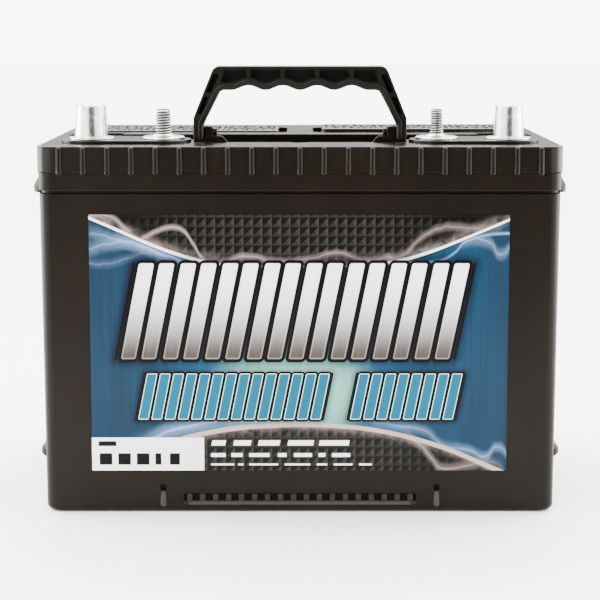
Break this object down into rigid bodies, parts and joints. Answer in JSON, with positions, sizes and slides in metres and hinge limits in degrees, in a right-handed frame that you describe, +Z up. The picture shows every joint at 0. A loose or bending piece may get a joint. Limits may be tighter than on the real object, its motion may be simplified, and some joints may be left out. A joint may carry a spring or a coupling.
{
  "type": "deep cycle battery",
  "caption": "Flooded marine and RV deep cycle battery with a ribbed cover, posts and studs, folding carry handle and lift-off gang vent caps.",
  "frame": {"origin": "middle of the base, on the surface it stands on", "axes": "+X along the length, to the right as the label is read; -Y out of the label; +Z up"},
  "size_m": [0.313, 0.173, 0.2635],
  "materials": {
    "case_plastic": "moulded polypropylene, satin gloss",
    "cover_plastic": "moulded polypropylene, glossy top",
    "handle_plastic": "moulded polypropylene, satin",
    "cap_plastic": "moulded polypropylene, satin",
    "printed_label": "printed film under a clear laminate",
    "terminal_lead": "bright burnished cast lead",
    "stud_steel": "bright rolled thread, stainless steel",
    "cast_lead": "dull cast lead",
    "positive_plate": "dark brown lead dioxide paste on a lead grid",
    "negative_plate": "grey sponge lead paste on a lead grid",
    "separator_sheet": "microporous polyethylene sheet",
    "seal_rubber": "moulded rubber",
    "frit": "sintered porous disc"
  },
  "bodies": {
    "battery": {"battery_case": "case_plastic", "cover": "cover_plastic", "front_label": "printed_label", "positive_terminal": "terminal_lead", "positive_stud": "stud_steel", "positive_riser": "cast_lead", "negative_terminal": "terminal_lead", "negative_stud": "stud_steel", "negative_riser": "cast_lead", "positive_plates_1": "positive_plate", "negative_plates_1": "negative_plate", "separator_pack_1": "separator_sheet", "positive_plates_2": "positive_plate", "negative_plates_2": "negative_plate", "separator_pack_2": "separator_sheet", "positive_plates_3": "positive_plate", "negative_plates_3": "negative_plate", "separator_pack_3": "separator_sheet", "positive_plates_4": "positive_plate", "negative_plates_4": "negative_plate", "separator_pack_4": "separator_sheet", "positive_plates_5": "positive_plate", "negative_plates_5": "negative_plate", "separator_pack_5": "separator_sheet", "positive_plates_6": "positive_plate", "negative_plates_6": "negative_plate", "separator_pack_6": "separator_sheet", "cell_connector_1": "cast_lead", "cell_connector_2": "cast_lead", "cell_connector_3": "cast_lead", "cell_connector_4": "cast_lead", "cell_connector_5": "cast_lead"},
    "handle": {"carry_handle": "handle_plastic"},
    "vent_cap_left": {"vent_cap_left": "cap_plastic", "flame_arrestor_left": "frit", "plug_seal_left_1": "seal_rubber", "plug_seal_left_2": "seal_rubber", "plug_seal_left_3": "seal_rubber"},
    "vent_cap_right": {"vent_cap_right": "cap_plastic", "flame_arrestor_right": "frit", "plug_seal_right_1": "seal_rubber", "plug_seal_right_2": "seal_rubber", "plug_seal_right_3": "seal_rubber"}
  },
  "joints": [
    {"name": "handle_fold", "type": "hinge", "parent": "battery", "child": "handle", "pos_m": [0, -0.048, 0.224], "axis": [-1, 0, 0], "range_deg": [0, 90]},
    {"name": "left_cap_lift", "type": "slide", "parent": "battery", "child": "vent_cap_left", "axis": [0, 0, 1], "range_m": [0, 0.03]},
    {"name": "right_cap_lift", "type": "slide", "parent": "battery", "child": "vent_cap_right", "axis": [0, 0, 1], "range_m": [0, 0.03]}
  ]
}
